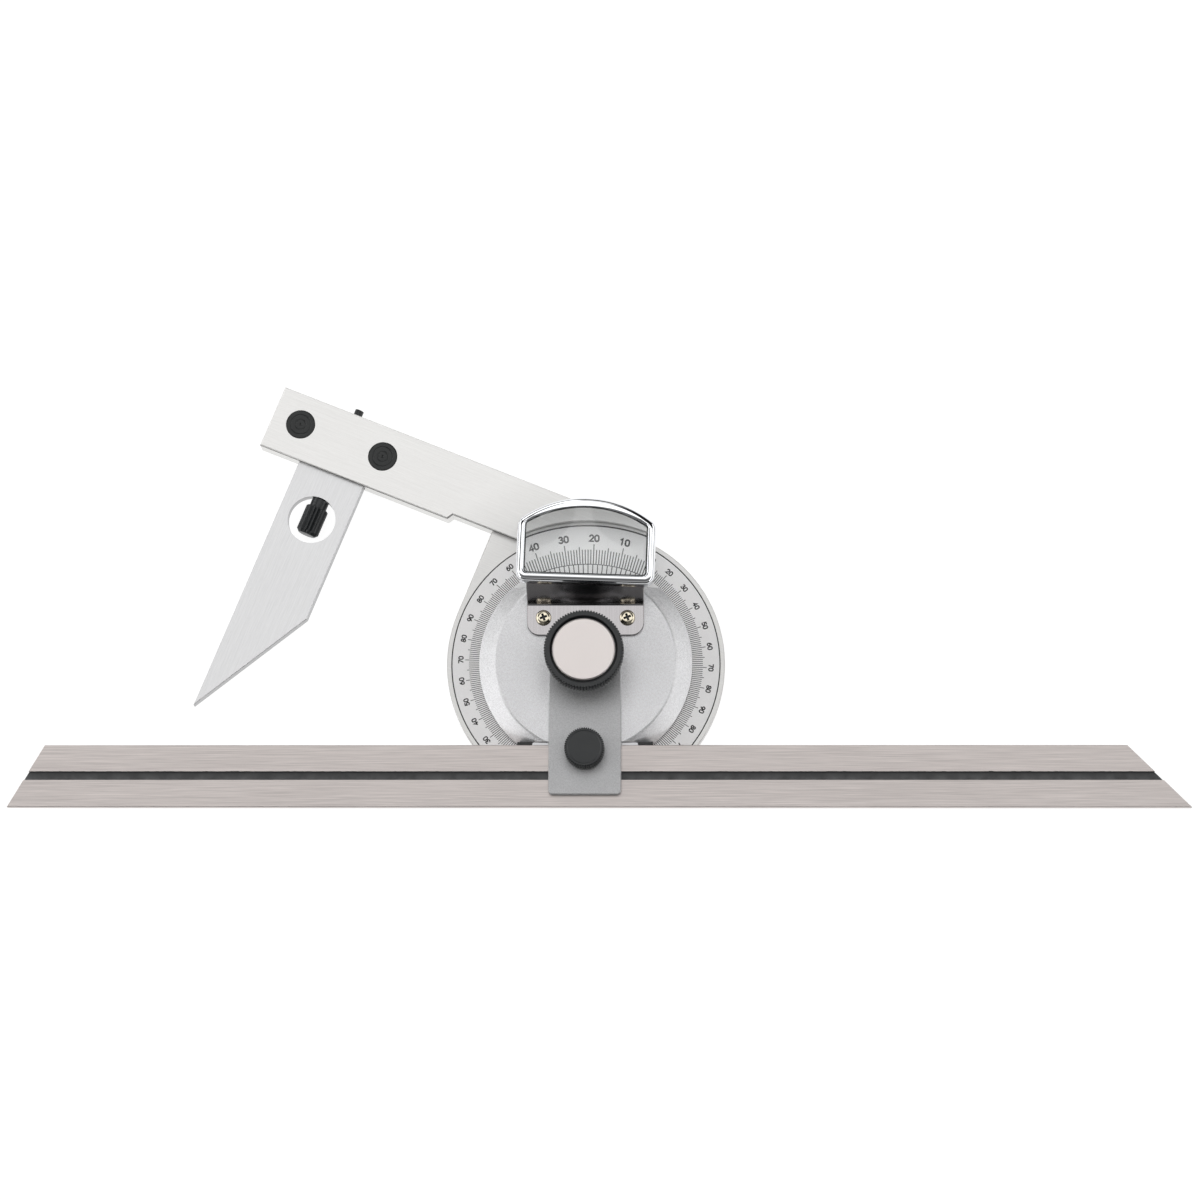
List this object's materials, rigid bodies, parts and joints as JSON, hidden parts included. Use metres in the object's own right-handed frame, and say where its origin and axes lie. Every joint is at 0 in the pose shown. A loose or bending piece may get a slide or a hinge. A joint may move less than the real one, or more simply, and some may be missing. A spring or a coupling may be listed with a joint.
{
  "type": "universal bevel protractor",
  "caption": "Bevel protractor: a stock with a thick bar and dial, a swivelling turret with magnifier and clamp knobs, a sliding grooved blade and a removable acute-angle blade.",
  "frame": {"origin": "on the dial axis in the plane of the stock's back, on which the tool lies", "axes": "+X along the long blade towards its 45 degree end, +Y across it towards the magnifier, +Z out of the dial face"},
  "size_m": [0.3, 0.1108, 0.0244],
  "materials": {
    "stock_steel": "near-white satin steel, brushed along the bar",
    "dial_satin": "matt satin chrome with engraved black graduations",
    "bush_brass": "turned brass",
    "black_oxide": "blackened turned steel",
    "acute_steel": "light steel, brushed lengthwise",
    "turned_steel": "turned plain steel",
    "silver_paint": "matt silver coating with a fine sparkle",
    "blade_steel": "warm grey ground steel, brushed lengthwise, dark groove",
    "knob_black": "black moulded plastic, semi matt",
    "cap_satin": "satin aluminium, faintly pink",
    "bright_chrome": "polished chrome",
    "lens_clear": "clear polished lens",
    "screw_nickel": "nickel-plated screw heads, slightly yellow"
  },
  "bodies": {
    "stock": {"stock_body": "stock_steel", "dial_disc": "dial_satin", "pivot_bush": "bush_brass", "locating_pin_outer": "black_oxide", "locating_pin_inner": "black_oxide"},
    "turret": {"turret_hub": "turned_steel", "vernier_plate": "dial_satin", "turret_cover": "silver_paint", "blade_seat": "turned_steel", "clamp_plate": "silver_paint", "groove_key": "turned_steel", "clamp_stud": "turned_steel", "thrust_washer": "turned_steel", "plate_dowel": "turned_steel", "magnifier_bracket": "bright_chrome", "magnifier_frame": "bright_chrome", "magnifier_lens": "lens_clear", "bracket_screw_left": "screw_nickel", "bracket_screw_right": "screw_nickel"},
    "blade": {"long_blade": "blade_steel"},
    "dial_knob": {"dial_clamp_knob": "knob_black", "knob_insert": "bush_brass", "knob_cap": "cap_satin"},
    "lock_knob": {"blade_clamp_knob": "knob_black", "blade_clamp_screw": "turned_steel"},
    "attachment": {"acute_blade": "acute_steel"},
    "thumbscrew": {"thumb_screw": "black_oxide"}
  },
  "joints": [
    {"name": "turret_swivel", "type": "hinge", "parent": "stock", "child": "turret", "pos_m": [0, 0, 0], "axis": [0, 0, 1], "continuous": true},
    {"name": "blade_slide", "type": "slide", "parent": "turret", "child": "blade", "axis": [1, 0, 0], "range_m": [-0.12, 0.12]},
    {"name": "dial_knob_turn", "type": "hinge", "parent": "turret", "child": "dial_knob", "pos_m": [0, 0, 0.018], "axis": [0, 0, 1], "range_deg": [0, 360]},
    {"name": "lock_knob_turn", "type": "hinge", "parent": "turret", "child": "lock_knob", "pos_m": [0, -0.02345, 0.013], "axis": [0, 0, 1], "range_deg": [0, 360]},
    {"name": "attachment_slide", "type": "slide", "parent": "stock", "child": "attachment", "axis": [-0.373, -0.9278, 0], "range_m": [0, 0.01]},
    {"name": "thumb_screw_turn", "type": "hinge", "parent": "attachment", "child": "thumbscrew", "pos_m": [-0.07446, 0.02993, 0.003], "axis": [0.373, 0.9278, 0], "range_deg": [0, 360]}
  ]
}
